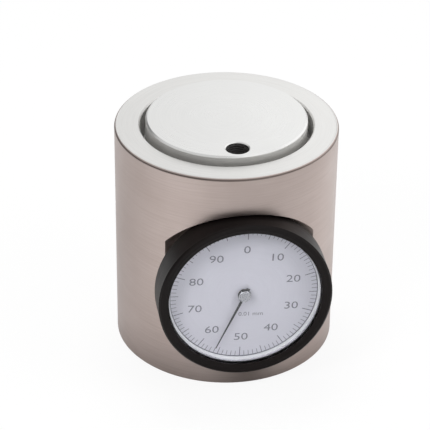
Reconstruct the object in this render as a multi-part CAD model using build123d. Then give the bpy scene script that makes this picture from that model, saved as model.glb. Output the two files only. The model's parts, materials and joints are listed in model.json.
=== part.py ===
from build123d import *
import math
import os

# Dial height gauge: a ground steel drum that stands on its flat base, with a sprung measuring
# plate in its top and a small dial gauge let into its side. A tool pressed onto the plate pushes
# it down, the plate's adjusting screw pushes the gauge's rack spindle, and a train of wheels
# turns the pointer once for each millimetre.
# Millimetres, +Z up, origin at the middle of the base, dial facing -Y.

# Drum
body_diameter = 46.0
body_height = 49.0
body_edge = 0.5
base_edge = 0.3
recess_edge = 0.25

# Measuring plate with its stem
plate_rise = 1.437
plate_diameter = 33.2
plate_thickness = 5.0
plate_gap = 1.2
plate_edge = 0.35
plate_travel = 2.0
under_plate_clearance = 0.3
stem_diameter = 8.0
stem_end_length = 1.8
stem_root_fillet = 0.4
pocket_lead_in = 0.25

# Guide bush, return spring and retaining clip of the stem
bush_wall = 2.0
bush_below_dial_axis = 8.42
bore_end_clearance = 1.0
slide_clearance = 0.02
spring_length = 12.4
spring_wire = 0.9
spring_turns = 5
spring_clearance = 0.45
well_clearance = 0.7
clip_width = 1.2
clip_thickness = 0.8
clip_groove_depth = 0.25
clip_opening = 3.2
clip_lug_radius = 0.7
clip_stop_gap = 0.05

# Pin that keeps the plate from turning
key_pin_diameter = 3.0
key_pin_offset = 11.6
key_pin_depth = 7.0
key_pin_reach = 1.2

# Lock screw of the guide bush, hidden behind the dial gauge
lock_screw_diameter = 3.0
lock_screw_bite = 0.6
lock_socket_depth = 1.2

# Adjusting screw in the plate, straight above the rack spindle
spindle_offset = 13.2
adjuster_diameter = 4.7
adjuster_clearance = 0.02
adjuster_sink = 2.6
adjuster_lift = 0.23
adjuster_socket = 2.5
adjuster_socket_depth = 1.5
adjuster_point = 0.4
hole_edge = 0.2

# Dial gauge: places along the dial's axis are measured forwards from the axis of the drum
dial_height = 22.45
bezel_diameter = 35.4
bezel_front = 26.2
bezel_length = 6.6
bezel_wall = 1.65
bezel_lip_width = 2.05
bezel_lip_thickness = 0.7
bezel_lip_slope = 0.95
bezel_lip_land = 0.35
bezel_edge = 0.35
bezel_gap = 0.3
bezel_running_clearance = 0.05
seat_depth = 17.3
movement_depth = 15.5
seat_width = 0.8
neck_wall = 1.4
case_wall = 1.0
case_back_depth = 8.6
case_back_wall = 1.4
case_fit = 0.03
snap_ring_width = 0.5
snap_ring_bite = 0.4
snap_ring_opening = 5.0

# Dial, crystal and the rings that hold them in the bezel
dial_below_bezel = 3.02
dial_thickness = 0.5
dial_hole_diameter = 2.4
crystal_thickness = 0.9
ring_fit = 0.02
dial_spacer_wall = 0.35
retainer_thickness = 0.4
retainer_width = 1.2
neck_end_gap = 0.3

# Movement plates, pillars and screws
rear_plate_thickness = 0.8
front_plate_thickness = 0.8
pillar_length = 3.1
pillar_diameter = 2.6
pillar_angle = 26.0
pillar_inset = 0.3
boss_diameter = 3.2
plate_screw_diameter = 1.2
plate_screw_bite = 2.6
plate_screw_head_diameter = 2.4
plate_screw_head_height = 0.65
screw_slot_width = 0.35
plate_edge_gap = 0.1

# Screws that hold the case in the drum
case_screw_diameter = 1.9
case_screw_bite = 4.0
case_screw_head_diameter = 3.2
case_screw_head_height = 1.1
case_screw_inset = 2.0
case_screw_rise = 0.8

# Rack spindle and its bushes
spindle_diameter = 2.5
spindle_bush_wall = 0.5
bush_head_diameter = 6.0
bush_head_sink = 0.3
bush_head_cover = 0.5
upper_bush_reach = 0.8
lower_bush_diameter = 3.8
lower_bush_height = 3.6
lower_bush_inset = 0.2
spindle_end_gap = 0.4
tip_length = 1.6
tip_neck_diameter = 1.4
tip_dome_radius = 2.2
rack_depth_fraction = 0.212
rack_pitch = 0.5
rack_teeth_below = 3
rack_teeth_spare = 4
rack_flat_run_out = 0.3

# Fork and pin that keep the rack spindle from turning, and its draw spring
guide_pin_diameter = 1.0
guide_pin_reach = 4.5
guide_pin_rise = 2.4
fork_thickness = 1.2
fork_distance = 3.4
fork_clearance = 0.05
fork_end = 1.4
draw_spring_diameter = 1.5
draw_spring_wire = 0.25
draw_spring_turns = 5
draw_spring_distance = 2.35
anchor_pin_diameter = 0.8
anchor_pin_inset = 1.9

# Wheel train: leaves and teeth, and the tooth form
leaves = 10
wheel_teeth = 50
wheel_room = 0.65
wheel_thickness = 0.5
wheel_rim = 1.1
wheel_hub_diameter = 2.3
wheel_hub_length = 1.2
wheel_spokes = 4
wheel_spoke_width = 0.8
wheel_lift = 0.7
pressure_angle = 25.0
addendum = 0.8
dedendum = 1.0
tooth_thinning = 0.06
rack_pinion_length = 2.0
centre_pinion_length = 1.4
arbor_diameter = 1.0
pivot_diameter = 0.6
pivot_clearance = 0.03
pivot_bush_diameter = 1.8
pivot_land = 1.2
pivot_end_gap = 0.1
arbor_shoulder_gap = 0.2
arbor_hole_clearance = 0.3

# Hairspring that takes up the play in the train
hairspring_half_turns = 7
hairspring_strip = 0.12
hairspring_height = 0.4
hairspring_lift = 0.12
hairspring_collet_diameter = 1.8
hairspring_pitch = 0.85
stud_size = 0.8

# Pointer
pointer_hub_diameter = 2.6
pointer_hub_length = 0.8
pointer_groove_diameter = 1.4
pointer_eye_diameter = 2.2
pointer_above_dial = 0.3
pointer_thickness = 0.15
pointer_root_width = 0.55
pointer_tip_width = 0.16
pointer_rim_gap = 2.1
pointer_tail = 1.8
pointer_tail_width = 0.8
pointer_clock_angle = 205.1

# Heights worked out from the driving sizes
body_radius = body_diameter / 2
plate_radius = plate_diameter / 2
pocket_radius = plate_radius + plate_gap
plate_top = body_height + plate_rise
plate_under = plate_top - plate_thickness
pocket_floor = plate_under - plate_travel - under_plate_clearance
stem_radius = stem_diameter / 2
bush_radius = stem_radius + bush_wall
well_radius = bush_radius + well_clearance
bush_top = plate_under - spring_length
bush_bottom = dial_height - bush_below_dial_axis
clip_top = bush_bottom - clip_stop_gap
clip_bottom = clip_top - clip_thickness
stem_bottom = clip_bottom - stem_end_length
bore_bottom = stem_bottom - plate_travel - bore_end_clearance

# Radii and depths of the dial gauge
bezel_radius = bezel_diameter / 2
recess_radius = bezel_radius + bezel_gap
opening_radius = bezel_radius - bezel_lip_width
bezel_bore_radius = bezel_radius - bezel_wall
neck_radius = bezel_bore_radius - bezel_running_clearance
neck_bore_radius = neck_radius - neck_wall
case_radius = neck_radius - seat_width
case_bore_radius = case_radius - case_wall
bezel_back = bezel_front - bezel_length
crystal_front = bezel_front - bezel_lip_thickness
crystal_back = crystal_front - crystal_thickness
dial_front = bezel_front - dial_below_bezel
dial_back = dial_front - dial_thickness
retainer_back = dial_back - retainer_thickness
neck_front = retainer_back - neck_end_gap
snap_ring_back = (bezel_back + neck_front - snap_ring_width) / 2
ring_radius = bezel_bore_radius - ring_fit
case_floor_depth = case_back_depth + case_back_wall

# Depths of the movement
rear_plate_front = movement_depth + rear_plate_thickness
front_plate_back = rear_plate_front + pillar_length
front_plate_front = front_plate_back + front_plate_thickness
wheel_back = rear_plate_front + wheel_lift
collet_back = wheel_back + (wheel_thickness + wheel_hub_length) / 2

# Wheel train
wheel_module = (neck_bore_radius - wheel_room) / (leaves / 2 + wheel_teeth + addendum)
rack_module = rack_pitch / math.pi
rack_pinion_radius = leaves * rack_module / 2
centre_distance = (leaves + wheel_teeth) * wheel_module / 2
rack_tip_x = spindle_diameter / 2 * (1 - 2 * rack_depth_fraction)
rack_pitch_x = rack_tip_x - addendum * rack_module
rack_root_x = rack_pitch_x - dedendum * rack_module
wheel_x = rack_pitch_x + rack_pinion_radius
wheel_y = -math.sqrt(centre_distance**2 - wheel_x**2)
wheel_direction = math.degrees(math.atan2(wheel_y, wheel_x))
leaf_angle = 360 / leaves
pivot_hole_radius = pivot_diameter / 2 + pivot_clearance

# Spindle heights
spindle_radius = spindle_diameter / 2
adjuster_bottom = plate_under - adjuster_lift
spindle_top = adjuster_bottom - slide_clearance
spindle_bottom = dial_height - case_radius + plate_travel + spindle_end_gap
rack_centre_z = dial_height + wheel_y
guide_pin_z = dial_height + guide_pin_rise
anchor_pin_z = dial_height + case_bore_radius - anchor_pin_inset

dial_frame = Plane(origin=(0, 0, dial_height), x_dir=(1, 0, 0), z_dir=(0, -1, 0)).location


def turned(*outline):
    """Solid of revolution about Z from (radius, height) points."""
    return revolve(Plane.XZ * make_face(Polyline(*outline, close=True)), Axis.Z)


def rod(radius, low, high, x=0, y=0):
    return Pos(x, y, low) * Cylinder(radius, high - low, align=(Align.CENTER, Align.CENTER, Align.MIN))


def tube(outer, inner, low, high, x=0, y=0):
    return rod(outer, low, high, x, y) - rod(inner, low, high, x, y)


def block(low, high):
    centre = [(a + b) / 2 for a, b in zip(low, high)]
    return Pos(*centre) * Box(*[b - a for a, b in zip(low, high)])


def hex_prism(across_flats, low, high):
    flat = RegularPolygon(across_flats / 2, 6, major_radius=False)
    return Pos(0, 0, low) * extrude(flat, high - low)


def slotted_head(radius, low, height, x, y):
    """Round screw head with a driver slot across its front."""
    head = rod(radius, low, low + height, x, y)
    top = low + height
    half = screw_slot_width / 2
    return head - block((x - radius, y - half, top - height / 2), (x + radius, y + half, top))


def involute(angle):
    return math.tan(angle) - angle


def tooth_half_angle(teeth, module, radius):
    """Half the angle that a tooth covers at a radius, on its involute flank."""
    pitch_radius = teeth * module / 2
    alpha = math.radians(pressure_angle)
    base_radius = pitch_radius * math.cos(alpha)
    thickness = module * (math.pi / 2 - tooth_thinning)
    reached = math.acos(min(1, base_radius / radius))
    return thickness / (2 * pitch_radius) + involute(alpha) - involute(reached)


def tooth_radii(teeth, module, flank_points):
    """Radii of the points of one flank, from the root to the tip."""
    pitch_radius = teeth * module / 2
    base_radius = pitch_radius * math.cos(math.radians(pressure_angle))
    root = pitch_radius - dedendum * module
    tip = pitch_radius + addendum * module
    start = max(root, base_radius)
    flank = [start + (tip - start) * k / (flank_points - 1) for k in range(flank_points)]
    return flank if start == root else [root] + flank


def toothed_disc(teeth, module, low, high, first_tooth, flank_points):
    """Spur gear with involute teeth, one of them pointing along the angle first_tooth."""
    flank = []
    for radius in tooth_radii(teeth, module, flank_points):
        flank.append((radius, tooth_half_angle(teeth, module, radius)))
    outline = []
    for tooth in range(teeth):
        middle = math.radians(first_tooth) + 2 * math.pi * tooth / teeth
        for radius, half in flank:
            outline.append((radius * math.cos(middle - half), radius * math.sin(middle - half)))
        for radius, half in reversed(flank):
            outline.append((radius * math.cos(middle + half), radius * math.sin(middle + half)))
    return Pos(0, 0, low) * extrude(make_face(Polyline(*outline, close=True)), high - low)


def spoked_wheel(first_tooth):
    """Thin toothed wheel with crossings cut between its spokes, and its hub."""
    back, front = wheel_back, wheel_back + wheel_thickness
    hub_back = wheel_back - (wheel_hub_length - wheel_thickness) / 2
    hub_radius = wheel_hub_diameter / 2
    window_outer = (wheel_teeth / 2 - dedendum) * wheel_module - wheel_rim
    wheel = toothed_disc(wheel_teeth, wheel_module, back, front, first_tooth, 2)
    window = tube(window_outer, hub_radius + wheel_spoke_width, back, front)
    for spoke in range(wheel_spokes // 2):
        half = wheel_spoke_width / 2
        bar = block((-window_outer, -half, back), (window_outer, half, front))
        window -= Rot(0, 0, first_tooth + 180 * spoke / (wheel_spokes / 2)) * bar
    hub = rod(hub_radius, hub_back, hub_back + wheel_hub_length)
    return wheel - window + hub - rod(arbor_diameter / 2, hub_back, hub_back + wheel_hub_length)


def coil(radius, wire, turns, low, high):
    """Helical spring of square wire standing between two heights."""
    path = Helix((high - low) / turns, high - low, radius)
    section = Plane(origin=path @ 0, x_dir=(0, 0, 1), z_dir=path % 0) * Rectangle(wire, wire)
    return Pos(0, 0, low) * sweep(section, path, is_frenet=True)


# Places of the four pillars, two on each side of the wheels
pillar_circle = case_bore_radius - boss_diameter / 2 - pillar_inset
pillar_places = []
for side in (0, 180):
    for slope in (pillar_angle, -pillar_angle):
        turn = math.radians(side + slope)
        pillar_places.append((pillar_circle * math.cos(turn), pillar_circle * math.sin(turn)))

case_screw_reach = case_bore_radius - case_screw_head_diameter / 2 - case_screw_inset
case_screw_places = [(-case_screw_reach, case_screw_rise), (case_screw_reach, case_screw_rise)]
arbor_places = [(0, 0), (wheel_x, wheel_y), (-wheel_x, -wheel_y)]
upper_bush_radius = spindle_radius + slide_clearance + spindle_bush_wall
bush_head_top = pocket_floor - bush_head_sink
bush_head_bottom = dial_height + recess_radius + bush_head_cover
upper_bush_bottom = dial_height + case_bore_radius - upper_bush_reach
lower_bush_bottom = dial_height - case_radius + lower_bush_inset


def make_housing():
    outline = [
        (0, 0),
        (body_radius - base_edge, 0),
        (body_radius, base_edge),
        (body_radius, body_height - body_edge),
        (body_radius - body_edge, body_height),
        (pocket_radius + pocket_lead_in, body_height),
        (pocket_radius, body_height - pocket_lead_in),
        (pocket_radius, pocket_floor),
        (well_radius, pocket_floor),
        (well_radius, bush_top),
        (bush_radius, bush_top),
        (bush_radius, bore_bottom),
        (0, bore_bottom),
    ]
    drum = turned(*outline)
    drum -= dial_frame * rod(recess_radius, seat_depth, body_diameter)
    drum = chamfer(drum.edges().filter_by(on_recess_rim), recess_edge)
    drum -= dial_frame * rod(case_radius + case_fit, case_back_depth, seat_depth)
    drum -= rod(bush_head_diameter / 2, bush_head_bottom, pocket_floor, 0, -spindle_offset)
    drum -= rod(upper_bush_radius, dial_height, bush_head_bottom, 0, -spindle_offset)
    drum -= rod(key_pin_diameter / 2, pocket_floor - key_pin_depth, pocket_floor, 0, key_pin_offset)
    drum -= dial_frame * rod(lock_screw_diameter / 2, 0, case_back_depth)
    for x, y in case_screw_places:
        screw_end = case_back_depth - case_screw_bite
        drum -= dial_frame * rod(case_screw_diameter / 2, screw_end, case_back_depth, x, y)
    return drum


def on_recess_rim(edge):
    """Whether an edge is where the recess breaks out through the drum's side."""
    for share in (0.2, 0.5, 0.8):
        point = edge.position_at(share)
        from_dial_axis = math.hypot(point.X, point.Z - dial_height)
        from_drum_axis = math.hypot(point.X, point.Y)
        if abs(from_dial_axis - recess_radius) + abs(from_drum_axis - body_radius) > slide_clearance:
            return False
    return True


def make_plate():
    """Measuring plate and stem, turned in one piece."""
    groove_radius = stem_radius - clip_groove_depth
    outline = [
        (0, stem_bottom),
        (stem_radius - plate_edge, stem_bottom),
        (stem_radius, stem_bottom + plate_edge),
        (stem_radius, clip_bottom),
        (groove_radius, clip_bottom),
        (groove_radius, clip_top),
        (stem_radius, clip_top),
        (stem_radius, plate_under - stem_root_fillet),
        (stem_radius + stem_root_fillet, plate_under),
        (plate_radius - plate_edge, plate_under),
        (plate_radius, plate_under + plate_edge),
        (plate_radius, plate_top - plate_edge),
        (plate_radius - plate_edge, plate_top),
        (0, plate_top),
    ]
    plate = turned(*outline)
    hole_radius = adjuster_diameter / 2
    hole = rod(hole_radius, plate_under, plate_top)
    hole += Pos(0, 0, plate_top - hole_edge / 2) * Cone(hole_radius, hole_radius + hole_edge, hole_edge)
    key_hole_top = plate_under + key_pin_reach + plate_travel + under_plate_clearance
    key_radius = key_pin_diameter / 2 + slide_clearance
    plate -= rod(key_radius, plate_under, key_hole_top, 0, key_pin_offset)
    return plate - Pos(0, -spindle_offset, 0) * hole


def make_adjusting_screw():
    radius = adjuster_diameter / 2 - adjuster_clearance
    top = plate_top - adjuster_sink
    outline = [
        (0, adjuster_bottom),
        (radius - adjuster_point, adjuster_bottom),
        (radius, adjuster_bottom + adjuster_point),
        (radius, top),
        (0, top),
    ]
    socket = hex_prism(adjuster_socket, top - adjuster_socket_depth, top)
    return Pos(0, -spindle_offset, 0) * (turned(*outline) - socket)


def make_plate_clip():
    """Open spring clip in the stem's groove, with a lug at each end for the pliers."""
    inner = stem_radius - clip_groove_depth + slide_clearance
    outer = stem_radius + clip_width
    opening = block((0, -clip_opening / 2, clip_bottom), (outer, clip_opening / 2, clip_top))
    clip = tube(outer, inner, clip_bottom, clip_top) - opening
    lug_circle = outer - clip_lug_radius / 2
    lug_side = clip_opening / 2 + clip_lug_radius
    for side in (-lug_side, lug_side):
        clip += rod(clip_lug_radius, clip_bottom, clip_top, math.sqrt(lug_circle**2 - side**2), side)
    return clip


def make_guide_bush():
    bush = tube(bush_radius, stem_radius + slide_clearance, bush_bottom, bush_top)
    screw_end = bush_radius - lock_screw_bite
    return bush - dial_frame * rod(lock_screw_diameter / 2, screw_end, case_back_depth)


def make_lock_screw():
    end = bush_radius - lock_screw_bite
    screw = rod(lock_screw_diameter / 2, end, case_back_depth)
    socket = hex_prism(lock_screw_diameter / 2, case_back_depth - lock_socket_depth, case_back_depth)
    return dial_frame * (screw - socket)


def make_return_spring():
    radius = stem_radius + spring_clearance + spring_wire / 2
    return coil(radius, spring_wire, spring_turns, bush_top + spring_wire / 2, plate_under - spring_wire / 2)


def make_key_pin():
    top = plate_under + key_pin_reach
    radius = key_pin_diameter / 2
    outline = [
        (0, pocket_floor - key_pin_depth),
        (radius, pocket_floor - key_pin_depth),
        (radius, top - plate_edge),
        (radius - plate_edge, top),
        (0, top),
    ]
    return Pos(0, key_pin_offset, 0) * turned(*outline)


def make_gauge_case():
    """Stepped cup that carries the movement, with bosses for its four screws."""
    groove_radius = neck_radius - snap_ring_bite
    outline = [
        (0, case_back_depth),
        (case_radius, case_back_depth),
        (case_radius, seat_depth),
        (neck_radius, seat_depth),
        (neck_radius, snap_ring_back - slide_clearance),
        (groove_radius, snap_ring_back - slide_clearance),
        (groove_radius, snap_ring_back + snap_ring_width + slide_clearance),
        (neck_radius, snap_ring_back + snap_ring_width + slide_clearance),
        (neck_radius, neck_front),
        (neck_bore_radius, neck_front),
        (neck_bore_radius, movement_depth),
        (case_bore_radius, movement_depth),
        (case_bore_radius, case_floor_depth),
        (0, case_floor_depth),
    ]
    case = turned(*outline)
    for x, y in pillar_places:
        case += rod(boss_diameter / 2, case_floor_depth, movement_depth, x, y)
        case -= rod(plate_screw_diameter / 2, movement_depth - plate_screw_bite, movement_depth, x, y)
    for x, y in case_screw_places:
        case -= rod(case_screw_diameter / 2, case_back_depth, case_floor_depth, x, y)
    bush_depth = case_back_depth + pivot_end_gap
    case -= rod(pivot_bush_diameter / 2, bush_depth, case_floor_depth, wheel_x, wheel_y)
    case -= Pos(-draw_spring_distance, anchor_pin_z - dial_height, 0) * rod(
        anchor_pin_diameter / 2, bush_depth, case_floor_depth
    )
    case = dial_frame * case
    case -= rod(upper_bush_radius, dial_height, dial_height + neck_radius, 0, -spindle_offset)
    lower_bush_top = lower_bush_bottom + lower_bush_height
    case -= rod(lower_bush_diameter / 2, lower_bush_bottom, lower_bush_top, 0, -spindle_offset)
    return case


def make_case_screws():
    screws = []
    for x, y in case_screw_places:
        end = case_back_depth - case_screw_bite
        shank = rod(case_screw_diameter / 2, end, case_floor_depth, x, y)
        head = slotted_head(case_screw_head_diameter / 2, case_floor_depth, case_screw_head_height, x, y)
        screws.append(dial_frame * (shank + head))
    return Compound(children=screws)


def make_upper_bush():
    bore = spindle_radius + slide_clearance
    outline = [
        (bore, upper_bush_bottom),
        (upper_bush_radius, upper_bush_bottom),
        (upper_bush_radius, bush_head_bottom),
        (bush_head_diameter / 2, bush_head_bottom),
        (bush_head_diameter / 2, bush_head_top),
        (bore, bush_head_top),
    ]
    return Pos(0, -spindle_offset, 0) * turned(*outline)


def make_lower_bush():
    low = lower_bush_bottom
    bush = tube(lower_bush_diameter / 2, spindle_radius + slide_clearance, low, low + lower_bush_height)
    return Pos(0, -spindle_offset, 0) * bush


def make_spindle():
    """Round spindle with rack teeth cut into a flat on its +X side."""
    spindle = rod(spindle_radius, spindle_bottom, spindle_top - tip_length)
    low = rack_centre_z - (rack_teeth_below + 0.5) * rack_pitch
    teeth = rack_teeth_below + rack_teeth_spare + math.ceil(plate_travel / rack_pitch)
    high = low + (teeth + 1) * rack_pitch
    flat_low = (rack_tip_x, -spindle_radius, low - rack_flat_run_out)
    flat_high = (spindle_radius, spindle_radius, high + rack_flat_run_out)
    spindle -= block(flat_low, flat_high)
    slope = math.tan(math.radians(pressure_angle))
    gap_half = (rack_pitch + 2 * tooth_thinning * rack_module) / 4
    root_half = gap_half - dedendum * rack_module * slope
    tip_half = gap_half + addendum * rack_module * slope
    for gap in range(-rack_teeth_below, teeth - rack_teeth_below + 1):
        z = rack_centre_z + gap * rack_pitch
        outline = [
            (rack_root_x, z - root_half),
            (rack_tip_x, z - tip_half),
            (rack_tip_x, z + tip_half),
            (rack_root_x, z + root_half),
        ]
        groove = Plane.XZ * make_face(Polyline(*outline, close=True))
        spindle -= extrude(groove, spindle_diameter, both=True)
    pin_hole = Pos(0, 0, guide_pin_z) * Rot(0, -90, 0) * rod(guide_pin_diameter / 2, 0, guide_pin_reach)
    tip_hole = rod(tip_neck_diameter / 2, spindle_top - 2 * tip_length, spindle_top)
    return Pos(0, -spindle_offset, 0) * (spindle - pin_hole - tip_hole)


def make_contact_tip():
    """Domed point that screws into the spindle's end and meets the adjusting screw."""
    shoulder = spindle_top - tip_length
    tip = rod(spindle_radius, shoulder, spindle_top)
    tip = tip & Pos(0, 0, spindle_top - tip_dome_radius) * Sphere(tip_dome_radius)
    tip += rod(tip_neck_diameter / 2, shoulder - tip_length, shoulder)
    return Pos(0, -spindle_offset, 0) * tip


def make_guide_pin():
    pin = Pos(0, 0, guide_pin_z) * Rot(0, -90, 0) * rod(guide_pin_diameter / 2, 0, guide_pin_reach)
    return Pos(0, -spindle_offset, 0) * pin


def make_guide_fork():
    """Slotted bar between the case and the rear plate that the guide pin slides in."""
    half = guide_pin_diameter / 2 + fork_clearance
    slot_top = guide_pin_z + half + fork_clearance
    slot_bottom = guide_pin_z - plate_travel - half - fork_clearance
    left, right = -fork_distance - fork_thickness, -fork_distance
    bar = block(
        (left, -movement_depth, slot_bottom - fork_end),
        (right, -case_floor_depth, slot_top + fork_end),
    )
    slot = block(
        (left, -spindle_offset - half, slot_bottom),
        (right, -spindle_offset + half, slot_top),
    )
    return bar - slot


def make_anchor_pin():
    back = case_back_depth + pivot_end_gap
    front = spindle_offset + draw_spring_diameter / 2
    pin = rod(anchor_pin_diameter / 2, back, front, -draw_spring_distance, anchor_pin_z - dial_height)
    return dial_frame * pin


def make_draw_spring():
    """Light spring, hooked between the anchor pin and the guide pin, that lifts the spindle."""
    hook = draw_spring_diameter / 2
    low = guide_pin_z + guide_pin_diameter / 2 + hook
    high = anchor_pin_z - anchor_pin_diameter / 2 - hook
    mean_radius = (draw_spring_diameter - draw_spring_wire) / 2
    half = draw_spring_wire / 2
    turns = coil(mean_radius, draw_spring_wire, draw_spring_turns, low, high)
    low_hook = rod(half, low - hook, low + half / 2, mean_radius, half)
    high_hook = rod(half, high - half / 2, high + hook, mean_radius, -half)
    return Pos(-draw_spring_distance, -spindle_offset, 0) * turns.fuse(low_hook, high_hook)


def make_plate_screws():
    screws = []
    for x, y in pillar_places:
        shank = rod(plate_screw_diameter / 2, movement_depth - plate_screw_bite, front_plate_front, x, y)
        head = slotted_head(plate_screw_head_diameter / 2, front_plate_front, plate_screw_head_height, x, y)
        screws.append(dial_frame * (shank + head))
    return Compound(children=screws)


def make_pillars():
    pillars = []
    for x, y in pillar_places:
        pillar = tube(pillar_diameter / 2, plate_screw_diameter / 2, rear_plate_front, front_plate_back, x, y)
        pillars.append(dial_frame * pillar)
    return Compound(children=pillars)


def drilled_plate(back, front, radius):
    plate = rod(radius, back, front)
    for x, y in pillar_places:
        plate -= rod(plate_screw_diameter / 2, back, front, x, y)
    return plate


def make_rear_plate():
    plate = drilled_plate(movement_depth, rear_plate_front, neck_bore_radius - plate_edge_gap)
    clearance_radius = arbor_diameter / 2 + arbor_hole_clearance
    for (x, y), radius in zip(arbor_places, (pivot_hole_radius, clearance_radius, pivot_hole_radius)):
        plate -= rod(radius, movement_depth, rear_plate_front, x, y)
    return dial_frame * plate


def make_front_plate():
    """Front plate: a bridge between the pillars, narrowed beside the wheels."""
    half_width = pillar_circle * math.sin(math.radians(pillar_angle)) + pillar_diameter
    radius = pillar_circle + pillar_diameter / 2
    plate = drilled_plate(front_plate_back, front_plate_front, radius)
    bridge = block((-radius, -half_width, front_plate_back), (radius, half_width, front_plate_front))
    plate = plate & bridge
    through_radius = arbor_diameter / 2 + pivot_clearance
    for (x, y), radius in zip(arbor_places, (through_radius, pivot_hole_radius, pivot_hole_radius)):
        plate += rod(radius + pivot_land, front_plate_back, front_plate_front, x, y)
        plate -= rod(radius, front_plate_back, front_plate_front, x, y)
    return dial_frame * plate


def make_rear_pivot_bush():
    """Bearing ring of the rack pinion's rear pivot, pressed into the case."""
    back = case_back_depth + pivot_end_gap
    bush = tube(pivot_bush_diameter / 2, pivot_hole_radius, back, case_floor_depth)
    return dial_frame * Pos(wheel_x, wheel_y, 0) * bush


def make_rack_pinion():
    """Arbor with the ten leaves that the rack drives."""
    x, y = arbor_places[1]
    back = spindle_offset - rack_pinion_length / 2
    front = spindle_offset + rack_pinion_length / 2
    shoulder_back = case_floor_depth + arbor_shoulder_gap
    shoulder_front = front_plate_back - arbor_shoulder_gap
    pivot_back = case_back_depth + 2 * pivot_end_gap
    pivot_front = front_plate_front - pivot_end_gap
    arbor = rod(arbor_diameter / 2, shoulder_back, shoulder_front)
    arbor += rod(pivot_diameter / 2, pivot_back, pivot_front)
    arbor += toothed_disc(leaves, rack_module, back, front, 180, 4)
    return dial_frame * Pos(x, y, 0) * arbor


def make_rack_wheel():
    x, y = arbor_places[1]
    return dial_frame * Pos(x, y, 0) * spoked_wheel(wheel_direction + 180)


def make_take_up_wheel():
    x, y = arbor_places[2]
    return dial_frame * Pos(x, y, 0) * spoked_wheel(wheel_direction)


def make_take_up_arbor():
    """Arbor of the take-up wheel, with the collet that holds the hairspring."""
    x, y = arbor_places[2]
    shoulder_back = rear_plate_front + arbor_shoulder_gap
    shoulder_front = front_plate_back - arbor_shoulder_gap
    arbor = rod(arbor_diameter / 2, shoulder_back, shoulder_front)
    arbor += rod(pivot_diameter / 2, movement_depth + pivot_end_gap, front_plate_front - pivot_end_gap)
    arbor += rod(hairspring_collet_diameter / 2, collet_back, shoulder_front)
    return dial_frame * Pos(x, y, 0) * arbor


def spiral(start):
    """Half-turn arcs about two centres, each a little wider than the one before it."""
    arcs = []
    for half_turn in range(hairspring_half_turns):
        side = 1 if half_turn % 2 == 0 else -1
        centre = 0 if side == 1 else hairspring_pitch / 2
        radius = start + half_turn * hairspring_pitch / 2
        first, last = (centre + side * radius, 0), (centre - side * radius, 0)
        arcs.append(ThreePointArc(first, (centre, side * radius), last))
    return arcs


def make_hairspring():
    """Flat spiral strip from the collet out to the stud."""
    x, y = arbor_places[2]
    start = hairspring_collet_diameter / 2
    inner = spiral(start)
    outer = spiral(start + hairspring_strip)
    ends = [Line(inner[0] @ 0, outer[0] @ 0), Line(inner[-1] @ 1, outer[-1] @ 1)]
    strip = extrude(make_face(inner + outer + ends), hairspring_height)
    return dial_frame * Pos(x, y, collet_back + hairspring_lift) * strip


def make_hairspring_stud():
    """Small block under the front plate that pins the hairspring's outer end."""
    x, y = arbor_places[2]
    last_centre = 0 if hairspring_half_turns % 2 else hairspring_pitch / 2
    last_side = -1 if hairspring_half_turns % 2 else 1
    last_radius = hairspring_collet_diameter / 2 + (hairspring_half_turns - 1) * hairspring_pitch / 2
    end_x = x + last_centre + last_side * last_radius
    low = (end_x - stud_size / 2, y - stud_size, collet_back + hairspring_lift)
    high = (end_x + stud_size / 2, y, front_plate_back)
    return dial_frame * block(low, high)


def make_centre_pinion():
    """Pointer arbor with its ten leaves, which both wheels turn with."""
    pinion_back = wheel_back - (centre_pinion_length - wheel_thickness) / 2
    leaf_start = wheel_direction + leaf_angle / 2
    hub_front = dial_front + pointer_above_dial + pointer_hub_length
    arbor = rod(arbor_diameter / 2, rear_plate_front + arbor_shoulder_gap, hub_front - pivot_end_gap)
    arbor += rod(pivot_diameter / 2, movement_depth + pivot_end_gap, hub_front - pivot_end_gap)
    arbor += toothed_disc(
        leaves, wheel_module, pinion_back, pinion_back + centre_pinion_length, leaf_start, 4
    )
    return dial_frame * arbor


def make_pointer():
    """Thin tapered hand with a short tail, at rest a little past the half turn."""
    length = opening_radius - pointer_rim_gap
    root, tip, tail = pointer_root_width / 2, pointer_tip_width / 2, pointer_tail_width / 2
    hand = [
        (-root, 0),
        (-tip, length),
        (tip, length),
        (root, 0),
        (tail, -pointer_tail),
        (-tail, -pointer_tail),
    ]
    blade = extrude(make_face(Polyline(*hand, close=True)), pointer_thickness)
    blade += rod(pointer_eye_diameter / 2, 0, pointer_thickness)
    blade -= rod(pointer_groove_diameter / 2, 0, pointer_thickness)
    back = dial_front + pointer_above_dial + (pointer_hub_length - pointer_thickness) / 2
    return dial_frame * Pos(0, 0, back) * Rot(0, 0, -pointer_clock_angle) * blade


def make_pointer_hub():
    """Turned hub that grips the arbor and carries the hand in a groove."""
    back = dial_front + pointer_above_dial
    front = back + pointer_hub_length
    middle = (back + front) / 2
    outer, groove, bore = pointer_hub_diameter / 2, pointer_groove_diameter / 2, arbor_diameter / 2
    half = pointer_thickness / 2
    outline = [
        (0, front - pivot_end_gap),
        (bore, front - pivot_end_gap),
        (bore, back),
        (outer, back),
        (outer, middle - half),
        (groove, middle - half),
        (groove, middle + half),
        (outer, middle + half),
        (outer, front - pivot_end_gap),
        (outer - pivot_end_gap, front),
        (0, front),
    ]
    return dial_frame * turned(*outline)


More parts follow.
